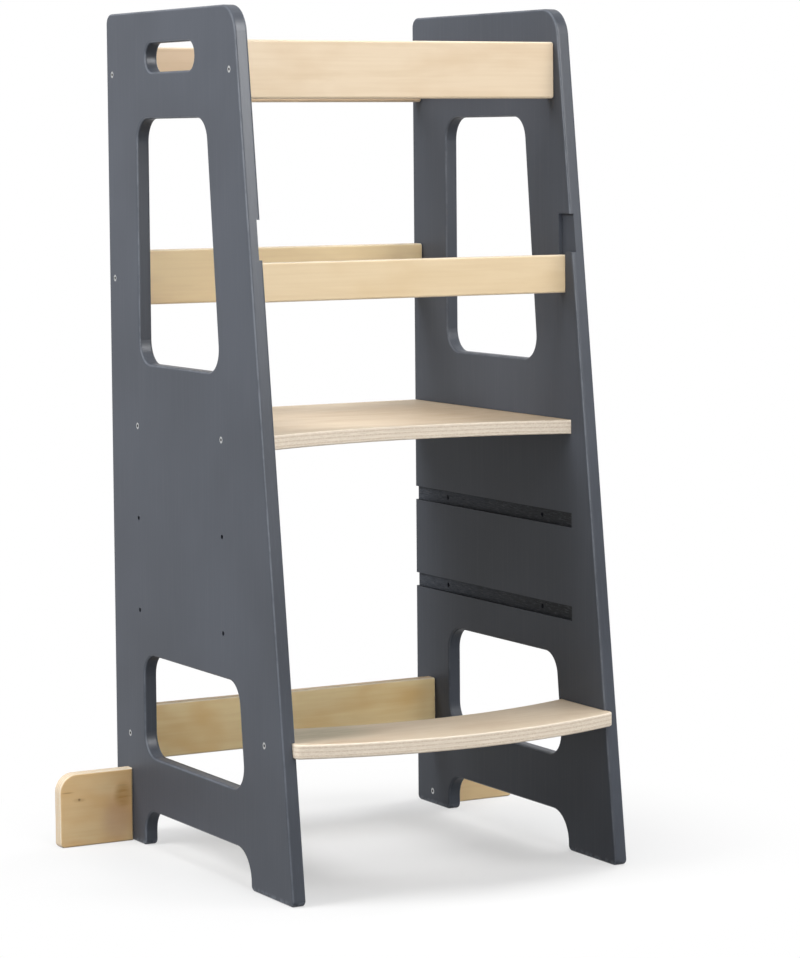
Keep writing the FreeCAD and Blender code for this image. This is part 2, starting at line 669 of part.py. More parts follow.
def main():
    """Write one file for each node."""
    os.makedirs("parts", exist_ok=True)
    for name, shape in build_nodes().items():
        shape.exportStep("parts/" + name + ".step")
        bounds = shape.BoundBox
        print(name, len(shape.Solids), shape.isValid(), round(shape.Volume, 1),
              [round(bounds.XMin, 2), round(bounds.YMin, 2), round(bounds.ZMin, 2)],
              [round(bounds.XMax, 2), round(bounds.YMax, 2), round(bounds.ZMax, 2)])


main()
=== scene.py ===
import logging
import math
from dataclasses import dataclass, field
from enum import Enum
from typing import Any

import bpy
from mathutils import Matrix, Vector


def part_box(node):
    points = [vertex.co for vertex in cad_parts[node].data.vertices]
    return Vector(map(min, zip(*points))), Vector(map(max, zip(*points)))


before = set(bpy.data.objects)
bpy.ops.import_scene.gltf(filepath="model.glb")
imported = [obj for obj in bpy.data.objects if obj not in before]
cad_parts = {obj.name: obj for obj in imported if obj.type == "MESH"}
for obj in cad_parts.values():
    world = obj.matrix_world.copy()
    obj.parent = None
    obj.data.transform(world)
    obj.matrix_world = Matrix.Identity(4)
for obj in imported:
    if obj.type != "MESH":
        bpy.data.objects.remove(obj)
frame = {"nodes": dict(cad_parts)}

# Colours are linear, and lengths and places are in metres in the stool's frame, where
# the text says nothing else.
Colour = tuple[float, float, float]
Point = tuple[float, float, float]
Span = tuple[float, float]

LOG = logging.getLogger("stool")
WHITE: Colour = (1.0, 1.0, 1.0)


class Axis(Enum):
    """A direction of the stool: across, from front to rear, or up."""

    ACROSS = 0
    DEPTH = 1
    UP = 2


def rgba(colour: Colour) -> tuple[float, float, float, float]:
    """A linear colour with full opacity."""
    return (*colour, 1.0)


def alike(value: float) -> Point:
    """The same value for all three axes or colour channels."""
    return (value, value, value)


def from_screen(red: int, green: int, blue: int) -> Colour:
    """Linear colour of a screen colour.

    Each channel c of 0 to 1 becomes ((c + 0.055) / 1.055) to the power 2.4, or c / 12.92
    where it is very dark.

    Args:
        red: Red from 0 to 255.
        green: Green from 0 to 255.
        blue: Blue from 0 to 255.

    Returns:
        The three linear channels.
    """
    channels = [value / 255.0 for value in (red, green, blue)]
    linear = [c / 12.92 if c <= 0.04045 else ((c + 0.055) / 1.055) ** 2.4 for c in channels]
    return (linear[0], linear[1], linear[2])


# -------------------- shader building
def find_socket(sockets: Any, key: str | int) -> bpy.types.NodeSocket:
    """Looks a socket up.

    Args:
        sockets: A node's inputs or outputs.
        key: The socket's index, its identifier, or else its name.

    Returns:
        The socket.
    """
    for socket in sockets:
        if socket.identifier == key:
            return socket
    return sockets[key]


class Socket:
    """One output of a shader node, with arithmetic that adds Math nodes."""

    def __init__(self, shader: "Shader", link: bpy.types.NodeSocket) -> None:
        """Keeps the shader and the output socket."""
        self.shader = shader
        self.link = link

    def maths(self, operation: str, *values: Any) -> "Socket":
        """Value of a Math node with these inputs in order, numbers or sockets."""
        inputs = dict(enumerate(values))
        return self.shader.node("ShaderNodeMath", {"operation": operation}, inputs)["Value"]

    def __add__(self, other: Any) -> "Socket":
        """Sum."""
        return self.maths("ADD", self, other)

    def __radd__(self, other: Any) -> "Socket":
        """Sum with a number on the left."""
        return self.maths("ADD", other, self)

    def __sub__(self, other: Any) -> "Socket":
        """Difference."""
        return self.maths("SUBTRACT", self, other)

    def __rsub__(self, other: Any) -> "Socket":
        """Difference from a number on the left."""
        return self.maths("SUBTRACT", other, self)

    def __mul__(self, other: Any) -> "Socket":
        """Product."""
        return self.maths("MULTIPLY", self, other)

    def __rmul__(self, other: Any) -> "Socket":
        """Product with a number on the left."""
        return self.maths("MULTIPLY", other, self)

    def __truediv__(self, other: Any) -> "Socket":
        """Quotient."""
        return self.maths("DIVIDE", self, other)

    def __abs__(self) -> "Socket":
        """Size without sign."""
        return self.maths("ABSOLUTE", self)

    def remainder(self, step: float) -> "Socket":
        """What is left after whole steps, never negative."""
        return self.maths("FLOORED_MODULO", self, step)

    def whole(self) -> "Socket":
        """Largest whole number that isn't above the value."""
        return self.maths("FLOOR", self)

    def at_least(self, limit: Any) -> "Socket":
        """The larger of the value and a limit."""
        return self.maths("MAXIMUM", self, limit)

    def rise(self, low: float, high: float) -> "Socket":
        """Smooth step from 0 at low to 1 at high.

        Args:
            low: Value below which the result is 0.
            high: Value above which the result is 1.

        Returns:
            The stepped value.
        """
        settings = {"interpolation_type": "SMOOTHSTEP"}
        inputs = {"Value": self, "From Min": low, "From Max": high}
        return self.shader.node("ShaderNodeMapRange", settings, inputs)["Result"]

    def fall(self, low: float, high: float) -> "Socket":
        """Smooth step from 1 at low to 0 at high."""
        return 1.0 - self.rise(low, high)


class Outputs:
    """The outputs of a new node, by name."""

    def __init__(self, shader: "Shader", node: bpy.types.Node) -> None:
        """Keeps the shader and the node."""
        self.shader = shader
        self.node = node

    def __getitem__(self, name: str) -> Socket:
        """The output with this identifier, or else with this name."""
        return Socket(self.shader, find_socket(self.node.outputs, name))


class Shader:
    """Builds the node tree of a material or of the world."""

    def __init__(self, owner: bpy.types.ID) -> None:
        """Empties the owner's node tree and takes it over.

        Args:
            owner: The material or the world.
        """
        owner.use_nodes = True
        self.tree = owner.node_tree
        self.tree.nodes.clear()

    def node(self, kind: str, settings: dict[str, Any] | None = None,
             inputs: dict[str | int, Any] | None = None) -> Outputs:
        """Adds a node.

        Args:
            kind: The node's type.
            settings: Its properties, set before its sockets.
            inputs: Numbers, colours or sockets, by a socket's identifier, name or index.

        Returns:
            The node's outputs.
        """
        node = self.tree.nodes.new(kind)
        for name, value in (settings or {}).items():
            setattr(node, name, value)
        for key, value in (inputs or {}).items():
            target = find_socket(node.inputs, key)
            if isinstance(value, Socket):
                self.tree.links.new(value.link, target)
            else:
                target.default_value = value
        return Outputs(self, node)

    def blend(self, share: Any, first: Any, second: Any) -> Socket:
        """Mix of two colours.

        Args:
            share: How much of the second colour, from 0 to 1.
            first: Colour at share 0, a linear colour or a socket.
            second: Colour at share 1.

        Returns:
            The mixed colour.
        """
        inputs = {"Factor_Float": share, "A_Color": self.as_colour(first),
                  "B_Color": self.as_colour(second)}
        settings = {"data_type": "RGBA", "blend_type": "MIX", "clamp_factor": True}
        return self.node("ShaderNodeMix", settings, inputs)["Result_Color"]

    @staticmethod
    def as_colour(value: Any) -> Any:
        """A socket as it is, or a linear colour with its opacity."""
        return value if isinstance(value, Socket) else rgba(value)

    def place(self) -> tuple[Socket, list[Socket]]:
        """Reads Object coordinates.

        Returns:
            The place on the stool as a vector, and as its three values.
        """
        vector = self.node("ShaderNodeTexCoord")["Object"]
        parts = self.node("ShaderNodeSeparateXYZ", inputs={"Vector": vector})
        return vector, [parts["X"], parts["Y"], parts["Z"]]

    def facing(self) -> list[Socket]:
        """Reads the surface's direction.

        Returns:
            How much the surface faces along each axis, from 0 to 1.
        """
        vector = self.node("ShaderNodeTexCoord")["Normal"]
        parts = self.node("ShaderNodeSeparateXYZ", inputs={"Vector": vector})
        return [abs(parts["X"]), abs(parts["Y"]), abs(parts["Z"])]

    def stretched(self, vector: Socket, scale: Point, offset: Point) -> Socket:
        """Coordinates scaled, and then moved, along each axis."""
        inputs = {"Vector": vector, "Scale": scale, "Location": offset}
        return self.node("ShaderNodeMapping", {"vector_type": "POINT"}, inputs)["Vector"]

    def length(self, vector: Socket) -> Socket:
        """Length of a vector."""
        return self.node("ShaderNodeVectorMath", {"operation": "LENGTH"}, {0: vector})["Value"]

    def bump(self, height: Socket, relief: Span) -> Socket:
        """Normal that follows a height of 0 to 1, for a strength and a depth in metres."""
        inputs = {"Height": height, "Strength": relief[0], "Distance": relief[1]}
        return self.node("ShaderNodeBump", inputs=inputs)["Normal"]

    def mixed(self, share: Socket, first: Socket, second: Socket) -> Socket:
        """Mix of two shaders, with the second one in full at share 1."""
        return self.node("ShaderNodeMixShader", inputs={0: share, 1: first, 2: second})["Shader"]

    def surface(self, inputs: dict[str, Any]) -> None:
        """Ends the tree in a Principled shader with these inputs."""
        shader = self.node("ShaderNodeBsdfPrincipled", inputs=inputs)["BSDF"]
        self.node("ShaderNodeOutputMaterial", inputs={"Surface": shader})


@dataclass(frozen=True)
class Pattern:
    """A noise pattern on a surface.

    Attributes:
        scale: Patches per metre along each axis.
        span: Noise values at which its marks begin and are full.
        share: How much the full marks show.
        detail: Number of finer layers of noise.
        roughness: Strength of each finer layer beside the one before.
        distortion: How far the noise meanders.
    """

    scale: Point
    span: Span = (0.0, 1.0)
    share: float = 1.0
    detail: float = 2.0
    roughness: float = 0.5
    distortion: float = 0.0

    def noise(self, shader: Shader, vector: Socket, offset: Point = alike(0.0)) -> Socket:
        """Adds the plain noise.

        Args:
            shader: The material's shader.
            vector: Object coordinates.
            offset: Moves the pattern, after scaling.

        Returns:
            The noise, from about 0 to 1.
        """
        inputs = {"Vector": shader.stretched(vector, self.scale, offset), "Scale": 1.0,
                  "Detail": self.detail, "Roughness": self.roughness,
                  "Distortion": self.distortion}
        return shader.node("ShaderNodeTexNoise", inputs=inputs)["Fac"]

    def mask(self, noise: Socket) -> Socket:
        """Where the marks lie: the noise stepped over the span, from 0 to 1."""
        return noise.rise(*self.span)

    def marks(self, noise: Socket) -> Socket:
        """How much the marks show: their mask times the share."""
        return self.mask(noise) * self.share


# -------------------- finishes
@dataclass(frozen=True)
class MarkOrShadePatch:
    """A veneer's knot, streak, stain or painted shade: an elliptical patch in the stool's frame.

    Attributes:
        centre: Middle of the patch.
        reach: Half its size along each axis.
        colour: Colour at its middle.
        strength: How much of that colour shows, from 0 to 1.
        figure: How much the grain breaks the patch up, from 0 to 1.
        core: Share of the half size within which the patch has its full strength.
    """

    centre: Point
    reach: Point
    colour: Colour
    strength: float
    figure: float = 0.25
    core: float = 0.25

    def mask(self, shader: Shader, vector: Socket) -> Socket:
        """Share of the patch's colour at each place.

        The place is moved to the patch's middle and divided by its half sizes. The share
        falls from the strength at the core's rim to 0 at length 1.

        Args:
            shader: The material's shader.
            vector: Object coordinates.

        Returns:
            The share, from 0 to the strength.
        """
        scale = tuple(1.0 / size for size in self.reach)
        offset = tuple(-place / size for place, size in zip(self.centre, self.reach))
        away = shader.length(shader.stretched(vector, scale, offset))
        return away.fall(self.core, 1.0) * self.strength


@dataclass(frozen=True)
class PlywoodFinish:
    """Clear-lacquered birch plywood: veneer on the faces and stacked plies on the edges.

    The grain runs across the stool, so every pattern is drawn out along that axis.

    Attributes:
        name: The material's name.
        through: Axis along the board's thickness.
        start: Where the board's lower face lies on that axis.
        thickness: The board's thickness.
        pale: Colour of the palest wood.
        dark: Colour of the grain's streaks.
        stain: Colour of the wide, slow patches.
        stain_share: How much of the stain shows at most.
        ply_pale: Colour of the plies that are cut along the grain.
        ply_dark: Colour of the plies that are cut across it.
        glue: Colour of the thin lines between plies.
        glue_share: How much of the glue colour shows at most.
        glue_width: Half width of a glue line in plies.
        contrast: How much of the dark grain shows at most.
        plies: Number of plies.
        roughness: Roughness of the lacquer.
        seed: Moves the grain, so that no two boards look alike.
        marks_and_shade: Knots, streaks, stains and patches of painted shade.
        grain_drift: Move of the grain along each axis for a seed of 1.
        stain_drift: The same for the stain's patches.
        flames: Wide flame figure.
        streaks: Narrow streaks.
        pores: Short fine pores.
        patches: Patches of the stain.
        fibres: Fibres that break the marks and painted shade up.
        wave: Slow wave of the plies.
        waviness: Height of that wave in plies.
        long_fibres: Fibres on the plies cut along the grain.
        end_fibres: Fibres on the plies cut across it.
        on_face: How much a surface faces along the thickness where the edge ends and
            the face begins.
        rim_start: The same where the rim, sanded and with painted highlight, begins.
        rim_end: The same where it ends.
        rim_wear_and_highlight: How much paler the rim is, as sanding and painted highlight.
        grain_roughness: Roughness that the dark grain adds.
        edge_roughness: Roughness that the edges add.
        specular: Specular level of the lacquer.
        relief: Strength, and depth in metres, of the grain's bumps.
    """

    name: str
    through: Axis
    start: float
    thickness: float
    pale: Colour = from_screen(234, 212, 181)
    dark: Colour = from_screen(214, 186, 148)
    stain: Colour = from_screen(221, 193, 156)
    stain_share: float = 0.45
    ply_pale: Colour = from_screen(243, 228, 205)
    ply_dark: Colour = from_screen(196, 166, 130)
    glue: Colour = from_screen(176, 146, 112)
    glue_share: float = 0.3
    glue_width: float = 0.16
    contrast: float = 0.45
    plies: int = 7
    roughness: float = 0.5
    seed: float = 0.0
    marks_and_shade: tuple[MarkOrShadePatch, ...] = ()
    grain_drift: Point = (1.0, 1.7, 0.6)
    stain_drift: Point = (2.0, 0.0, 1.0)
    flames: Pattern = Pattern((7.0, 30.0, 30.0), (0.40, 0.66), 0.42, 3.0, distortion=1.4)
    streaks: Pattern = Pattern((7.0, 260.0, 260.0), (0.38, 0.68), 0.38, 3.0)
    pores: Pattern = Pattern((45.0, 1500.0, 1500.0), (0.60, 0.78), 0.14, 1.0)
    patches: Pattern = Pattern((11.0, 24.0, 24.0), (0.46, 0.70))
    fibres: Pattern = Pattern((40.0, 300.0, 300.0), (0.35, 0.65))
    wave: Pattern = Pattern(alike(16.0))
    waviness: float = 0.5
    long_fibres: Pattern = Pattern((30.0, 900.0, 900.0), (0.35, 0.75), 0.35)
    end_fibres: Pattern = Pattern(alike(650.0), (0.30, 0.70), 0.5)
    on_face: Span = (0.62, 0.90)
    rim_start: Span = (0.30, 0.60)
    rim_end: Span = (0.80, 0.97)
    rim_wear_and_highlight: float = 0.35
    grain_roughness: float = 0.12
    edge_roughness: float = 0.10
    specular: float = 0.16
    relief: Span = (0.22, 0.00012)

    def drift(self, steps: Point) -> Point:
        """Move of a pattern along each axis, from its move for a seed of 1."""
        return (self.seed * steps[0], self.seed * steps[1], self.seed * steps[2])

    def grain(self, shader: Shader, vector: Socket) -> Socket:
        """Grain of the veneer.

        Three noises, all drawn out along the grain, are added: wide flame figure, narrow
        streaks, and short fine pores.

        Args:
            shader: The material's shader.
            vector: Object coordinates.

        Returns:
            The grain's darkness, from 0 to 1.
        """
        offset = self.drift(self.grain_drift)
        flames, streaks, pores = (pattern.marks(pattern.noise(shader, vector, offset))
                                  for pattern in (self.flames, self.streaks, self.pores))
        return flames + streaks + pores

    def face(self, shader: Shader, vector: Socket) -> Socket:
        """Colour of the face veneer, with its stains, marks and painted shade.

        Args:
            shader: The material's shader.
            vector: Object coordinates.

        Returns:
            The colour.
        """
        grain = self.grain(shader, vector)
        patches = self.patches.noise(shader, vector, self.drift(self.stain_drift))
        colour = shader.blend(grain * self.contrast, self.pale, self.dark)
        colour = shader.blend(self.patches.mask(patches) * self.stain_share, colour, self.stain)
        fibres = self.fibres.noise(shader, vector)
        for mark_or_shade in self.marks_and_shade:
            kept = 1.0 - self.fibres.mask(fibres) * mark_or_shade.figure
            colour = shader.blend(mark_or_shade.mask(shader, vector) * kept, colour, mark_or_shade.colour)
        return colour

    def edge(self, shader: Shader, vector: Socket, depth: Socket) -> Socket:
        """Colour of the plies on the board's edges.

        The depth into the board, with a slight waviness, is cut into equal plies. Every
        second one is end grain and darker, and a thin glue line parts them.

        Args:
            shader: The material's shader.
            vector: Object coordinates.
            depth: Coordinate along the thickness.

        Returns:
            The colour.
        """
        wave = self.wave.noise(shader, vector) - 0.5
        level = ((depth - self.start) / self.thickness * float(self.plies)
                 + wave * self.waviness)
        odd = level.whole().remainder(2.0)
        inside = level.remainder(1.0)
        glue = 1.0 - inside.rise(0.0, self.glue_width) * inside.fall(1.0 - self.glue_width, 1.0)
        long_fibres = self.long_fibres.marks(self.long_fibres.noise(shader, vector))
        end_fibres = self.end_fibres.marks(self.end_fibres.noise(shader, vector))
        long_ply = shader.blend(long_fibres, self.ply_pale, self.dark)
        end_ply = shader.blend(end_fibres, self.ply_dark, self.stain)
        colour = shader.blend(odd, long_ply, end_ply)
        return shader.blend(glue * self.glue_share, colour, self.glue)

    def material(self) -> bpy.types.Material:
        """Builds the material.

        The face veneer shows where the surface faces along the thickness, the plies show
        elsewhere, and the rounded rim between them is a little paler, as sanding and as
        painted highlight.

        Returns:
            The material.
        """
        material = bpy.data.materials.new(self.name)
        shader = Shader(material)
        vector, place = shader.place()
        toward = shader.facing()[self.through.value]
        on_face = toward.rise(*self.on_face)
        rim = toward.rise(*self.rim_start) * toward.fall(*self.rim_end)
        face = self.face(shader, vector)
        edge = self.edge(shader, vector, place[self.through.value])
        colour = shader.blend(on_face, edge, face)
        # the rounded rim paler, as sanding and as painted highlight
        colour = shader.blend(rim * self.rim_wear_and_highlight, colour, self.ply_pale)
        grain = self.grain(shader, vector)
        shader.surface({
            "Base Color": colour,
            "Roughness": (self.roughness + grain * self.grain_roughness
                          + (1.0 - on_face) * self.edge_roughness),
            "Specular IOR Level": self.specular,
            "Normal": shader.bump(1.0 - grain, self.relief),
        })
        return material


@dataclass(frozen=True)
class GrooveWearAndShade:
    """Scuffs, chips, darkening and a painted shadow line in the grooves of the side panels.

    Attributes:
        scuff: Colour of the scuffs on the grooves' floors.
        gap: Near-black of chips, painted shadow line, walls and dark front.
        inner: Distance of the panel's inner face from the middle.
        depth: Depth of the grooves.
        floor_start: Groove depths from the inner face at which a floor's mask begins.
        floor_end: The same where it ends.
        sideways: How much a floor faces sideways.
        wall_start: Metres from the inner face at which a wall's mask begins.
        wall_end: Metres beyond the floor at which it ends.
        level: How much a wall faces up or down.
        wall_share: How dark the walls are.
        boards_top: Heights in metres, over the platform grooves, at which their marks end.
        front: Places from front to rear, in metres, between which the floors' darkening ends.
        front_share: How much darker the floors get towards the front.
        scuffs: Pattern of the pale scuffs.
        chips: Noise values at which dark chips are full and end.
        chip_share: How dark the chips are.
        step: Height from one platform groove to the next.
        top: Height in metres, above a whole number of steps, where the ragged painted
        shadow line along a groove's upper wall begins.
        top_soft: Height over which it comes up.
        ragged: How far the line wanders.
        shadow_line_share: How dark the painted shadow line is.
    """

    scuff: Colour = from_screen(112, 116, 120)
    gap: Colour = from_screen(26, 28, 30)
    inner: float = 0.182
    depth: float = 0.0045
    floor_start: Span = (0.6, 0.8)
    floor_end: Span = (1.3, 1.6)
    sideways: Span = (0.80, 0.95)
    wall_start: Span = (0.0004, 0.0007)
    wall_end: float = 0.0003
    level: Span = (0.97, 0.995)
    wall_share: float = 0.85
    boards_top: Span = (0.50, 0.52)
    front: Span = (-0.08, 0.14)
    front_share: float = 0.72
    scuffs: Pattern = Pattern((300.0, 75.0, 700.0), (0.52, 0.64), 0.40, 4.0, 0.75)
    chips: Span = (0.36, 0.46)
    chip_share: float = 0.6
    step: float = 0.1
    top: float = 0.0644
    top_soft: float = 0.0006
    ragged: float = 0.0022
    shadow_line_share: float = 0.95

    def floors(self, across: Socket, sideways: Socket) -> Socket:
        """Mask of the grooves' floors, which lie deeper than the inner face.

        Args:
            across: Distance from the stool's middle.
            sideways: How much the surface faces sideways.

        Returns:
            The mask.
        """
        start = (self.inner + self.depth * share for share in self.floor_start)
        end = (self.inner + self.depth * share for share in self.floor_end)
        return across.rise(*start) * across.fall(*end) * sideways.rise(*self.sideways)

    def walls(self, across: Socket, level: Socket) -> Socket:
        """Mask of the grooves' lower and upper walls, which face up or down.

        Args:
            across: Distance from the stool's middle.
            level: How much the surface faces up or down.

        Returns:
            The mask.
        """
        start = (self.inner + away for away in self.wall_start)
        floor = self.inner + self.depth
        inside = across.rise(*start) * across.fall(floor, floor + self.wall_end)
        return inside * level.rise(*self.level)

    def wear_and_painted_light(self, shader: Shader, vector: Socket, place: list[Socket], floors: Socket,
             colour: Socket) -> Socket:
        """Colour of the grooves' floors with scuffs, chips, darkening and a painted shadow line.

        The ragged painted shadow line lies where the height, moved by the scuffs' noise,
        leaves more than the top after whole steps.

        Args:
            shader: The material's shader.
            vector: Object coordinates.
            place: The three Object coordinates.
            floors: Mask of the grooves' floors.
            colour: Colour without wear.

        Returns:
            The colour with wear.
        """
        _, depth, height = place
        scuffs = self.scuffs.noise(shader, vector)
        worked = floors * height.fall(*self.boards_top)
        # the floors darker towards the front
        colour = shader.blend(worked * depth.fall(*self.front) * self.front_share,
                              colour, self.gap)
        colour = shader.blend(worked * self.scuffs.marks(scuffs), colour, self.scuff)
        colour = shader.blend(worked * scuffs.fall(*self.chips) * self.chip_share,
                              colour, self.gap)
        # painted shadow: a ragged dark line on the floors under each groove's upper edge
        ragged = (height + scuffs * self.ragged).remainder(self.step)
        shadow_line = ragged.rise(self.top, self.top + self.top_soft)
        return shader.blend(worked * shadow_line * self.shadow_line_share, colour, self.gap)


@dataclass(frozen=True)
class PaintFinish:
    """Satin slate-grey paint on the side panels.

    Attributes:
        name: The material's name.
        body: Colour of the paint.
        tone: Share by which its patches are lighter or darker.
        wear_and_painted_light: Colour of the rubbed edges and of their painted highlight.
        grooves: Wear, darkening and painted shadow in the grooves.
        patches: Slow patches in the paint.
        brush: Faint upright brush lines.
        speckle: Fine speckle of the paint film.
        rim_start: How much a surface faces sideways where the rim's wear and painted highlight
            begin.
        rim_end: The same where it ends.
        rim_wear_and_highlight: Share of that colour on the whole rim: wear and painted highlight.
        rubbed_and_highlit: Broken stretches of the rim with more wear and painted highlight.
        foot: Heights in metres between which the feet's chipped edge ends.
        foot_chips: Chips along the feet.
        foot_share: How pale those chips are.
        roughness: Roughness of the paint.
        patch_roughness: Roughness that the patches add.
        floor_roughness: Roughness that the grooves' floors add.
        rim_polish: Roughness that the rim loses.
        foot_roughness: Roughness that the feet's chips add.
        specular: Specular level of the paint.
        speckle_height: Share of the speckle in the relief.
        brush_height: Share of the brush lines in the relief.
        relief: Strength, and depth in metres, of the film's bumps.
    """

    name: str = "panel_paint_finish"
    body: Colour = from_screen(73, 77, 85)
    tone: float = 0.10
    wear_and_painted_light: Colour = from_screen(142, 148, 158)
    grooves: GrooveWearAndShade = GrooveWearAndShade()
    patches: Pattern = Pattern(alike(5.0), (0.32, 0.68), detail=3.0)
    brush: Pattern = Pattern((700.0, 420.0, 9.0), (0.45, 0.75), 0.03)
    speckle: Pattern = Pattern(alike(1900.0), detail=1.0)
    rim_start: Span = (0.30, 0.62)
    rim_end: Span = (0.86, 0.985)
    rim_wear_and_highlight: float = 0.08
    rubbed_and_highlit: Pattern = Pattern(alike(38.0), (0.34, 0.62), 0.20, 4.0, 0.65)
    foot: Span = (0.0015, 0.0070)
    foot_chips: Pattern = Pattern(alike(160.0), (0.42, 0.60), detail=3.0)
    foot_share: float = 0.45
    roughness: float = 0.36
    patch_roughness: float = 0.10
    floor_roughness: float = 0.18
    rim_polish: float = 0.06
    foot_roughness: float = 0.2
    specular: float = 0.12
    speckle_height: float = 0.7
    brush_height: float = 0.3
    relief: Span = (0.16, 0.00008)

    def toned(self, factor: float) -> Colour:
        """The paint's colour times a factor."""
        return (self.body[0] * factor, self.body[1] * factor, self.body[2] * factor)

    def material(self) -> bpy.types.Material:
        """Builds the material.

        Slow patches and faint upright brush lines vary the paint, the rounded edges are
        paler with wear and painted highlight in broken stretches, and the grooves' floors
        are duller with pale and dark scuffs between dark walls, darker towards the front,
        with a painted shadow line under each upper edge.

        Returns:
            The material.
        """
        material = bpy.data.materials.new(self.name)
        shader = Shader(material)
        vector, place = shader.place()
        across = abs(place[0])
        sideways, _, level = shader.facing()
        patches = self.patches.noise(shader, vector)
        brush = self.brush.noise(shader, vector)
        speckle = self.speckle.noise(shader, vector)
        colour = shader.blend(self.patches.mask(patches), self.toned(1.0 - self.tone),
                              self.toned(1.0 + self.tone))
        colour = shader.blend(self.brush.marks(brush), colour, self.wear_and_painted_light)
        # rim of the rounded edges: paler with wear and painted highlight
        rim = sideways.rise(*self.rim_start) * sideways.fall(*self.rim_end)
        rubbed_and_highlit = self.rubbed_and_highlit.marks(self.rubbed_and_highlit.noise(shader, vector))
        colour = shader.blend(rim * (self.rim_wear_and_highlight + rubbed_and_highlit), colour, self.wear_and_painted_light)
        floors = self.grooves.floors(across, sideways)
        colour = self.grooves.wear_and_painted_light(shader, vector, place, floors, colour)
        # the grooves' walls painted near-black
        walls = self.grooves.walls(across, level) * self.grooves.wall_share
        colour = shader.blend(walls, colour, self.grooves.gap)
        chips = self.foot_chips.mask(self.foot_chips.noise(shader, vector))
        foot = place[2].fall(*self.foot) * chips
        colour = shader.blend(foot * self.foot_share, colour, self.wear_and_painted_light)
        shader.surface({
            "Base Color": colour,
            "Roughness": (self.roughness + patches * self.patch_roughness
                          + floors * self.floor_roughness - rim * self.rim_polish
                          + foot * self.foot_roughness),
            "Specular IOR Level": self.specular,
            "Normal": shader.bump(speckle * self.speckle_height + brush * self.brush_height,
                                  self.relief),
        })
        return material


@dataclass(frozen=True)
class ZincFinish:
    """Bright zinc plate on the connector screws, with painted shade in the hexagon sockets.

    Attributes:
        name: The material's name.
        plate: Colour of the zinc.
        tint: Colour of the dull passivated clouds.
        clouds: Pattern of those clouds.
        socket_shade: Colour of the painted shade deep in a socket.
        socket_shade_share: How much of that painted shade shows.
        head: How much a surface faces sideways where the clean head begins.
        socket_floors: Distances of the sockets' floors from the middle.
        floor_reach: Metres from a socket's floor between which its painted shade ends.
        turning: Fine turning marks round the screw's axis.
        roughness: Roughness of the plate.
        cloud_roughness: Roughness that the clouds add.
        relief: Strength, and depth in metres, of the turning marks.
    """

    name: str = "zinc_finish"
    plate: Colour = (0.42, 0.43, 0.44)
    tint: Colour = (0.38, 0.37, 0.33)
    clouds: Pattern = Pattern(alike(900.0), (0.35, 0.70), 0.35, 3.0)
    socket_shade: Colour = (0.03, 0.03, 0.032)
    socket_shade_share: float = 0.9
    head: Span = (0.35, 0.75)
    socket_floors: tuple[float, ...] = (0.1950, 0.1840)
    floor_reach: Span = (0.0002, 0.0004)
    turning: Pattern = Pattern((60.0, 5200.0, 5200.0), detail=1.0)
    roughness: float = 0.34
    cloud_roughness: float = 0.18
    relief: Span = (0.12, 0.00004)

    def material(self) -> bpy.types.Material:
        """Builds the material: fine turning marks, cloudy patches, a dull passivated tint, and
        painted shade in the sockets.

        Returns:
            The material.
        """
        material = bpy.data.materials.new(self.name)
        shader = Shader(material)
        vector, place = shader.place()
        clouds = self.clouds.noise(shader, vector)
        head = shader.facing()[0].rise(*self.head)
        colour = shader.blend(self.clouds.marks(clouds), self.plate, self.tint)
        # painted shade: near-black on every surface not facing sideways, mainly the sockets'
        # walls, then on their floors
        colour = shader.blend((1.0 - head) * self.socket_shade_share, colour, self.socket_shade)
        for distance in self.socket_floors:
            floor = abs(abs(place[0]) - distance).fall(*self.floor_reach)
            colour = shader.blend(floor * self.socket_shade_share, colour, self.socket_shade)
        shader.surface({
            "Base Color": colour,
            "Metallic": 1.0,
            "Roughness": self.roughness + clouds * self.cloud_roughness,
            "Normal": shader.bump(self.turning.noise(shader, vector), self.relief),
        })
        return material


@dataclass(frozen=True)
class DowelFinish:
    """Plain beech of the dowels, with short dark flecks.

    Attributes:
        name: The material's name.
        wood: Colour of the wood.
        fleck: Colour of its flecks.
        flecks: Pattern of the flecks.
        fibres: Pattern of the fibres along the dowel.
        roughness: Roughness of the wood.
        fibre_roughness: Roughness that the fibres add.
        relief: Strength, and depth in metres, of the fibres' bumps.
    """

    name: str = "dowel_finish"
    wood: Colour = (0.56, 0.38, 0.23)
    fleck: Colour = (0.33, 0.20, 0.11)
    flecks: Pattern = Pattern((240.0, 1600.0, 1600.0), (0.58, 0.70), 0.7)
    fibres: Pattern = Pattern((40.0, 900.0, 900.0), (0.40, 0.70), 0.25, 3.0)
    roughness: float = 0.58
    fibre_roughness: float = 0.12
    relief: Span = (0.2, 0.0001)

    def material(self) -> bpy.types.Material:
        """Builds the material: flecks and fibres along the dowel.

        Returns:
            The material.
        """
        material = bpy.data.materials.new(self.name)
        shader = Shader(material)
        vector, _ = shader.place()
        flecks = self.flecks.marks(self.flecks.noise(shader, vector))
        fibres = self.fibres.noise(shader, vector)
        colour = shader.blend(flecks, self.wood, self.fleck)
        colour = shader.blend(self.fibres.marks(fibres), colour, self.fleck)
        shader.surface({
            "Base Color": colour,
            "Roughness": self.roughness + fibres * self.fibre_roughness,
            "Normal": shader.bump(fibres, self.relief),
        })
        return material


